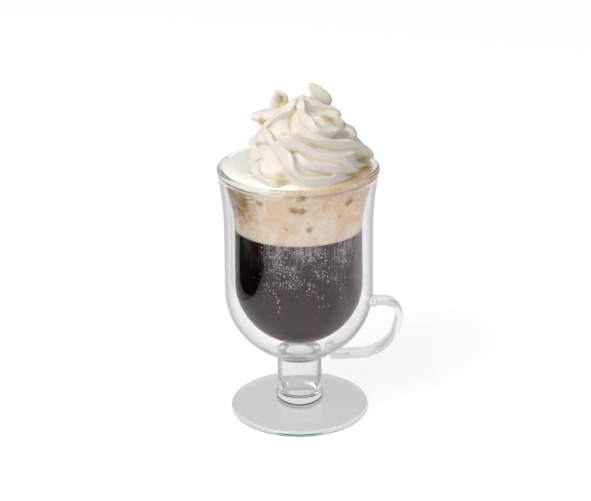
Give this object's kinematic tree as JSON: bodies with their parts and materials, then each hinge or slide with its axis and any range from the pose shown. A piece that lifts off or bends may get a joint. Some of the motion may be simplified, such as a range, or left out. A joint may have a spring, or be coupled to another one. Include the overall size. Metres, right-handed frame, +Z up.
{
  "type": "irish coffee glass mug",
  "caption": "Footed double-walled glass mug with a small strap handle, filled with coffee under a layer of cream and a piped swirl of whipped cream.",
  "frame": {"origin": "centre of the foot's underside, on the mug's axis", "axes": "+Z up along the mug's axis, +X towards the handle"},
  "size_m": [0.0985, 0.085, 0.1847],
  "materials": {
    "glass": "clear blown borosilicate, fire-polished",
    "coffee": "liquid, nearly black",
    "cream_layer": "loose cream stained tan by the coffee",
    "whipped_cream": "soft satin whipped cream"
  },
  "bodies": {
    "root": {"foot": "glass", "stem": "glass", "outer_shell": "glass", "inner_bowl": "glass", "handle": "glass", "vent_seal": "glass", "coffee": "coffee", "cream_layer": "cream_layer", "whipped_cream": "whipped_cream"}
  },
  "joints": []
}
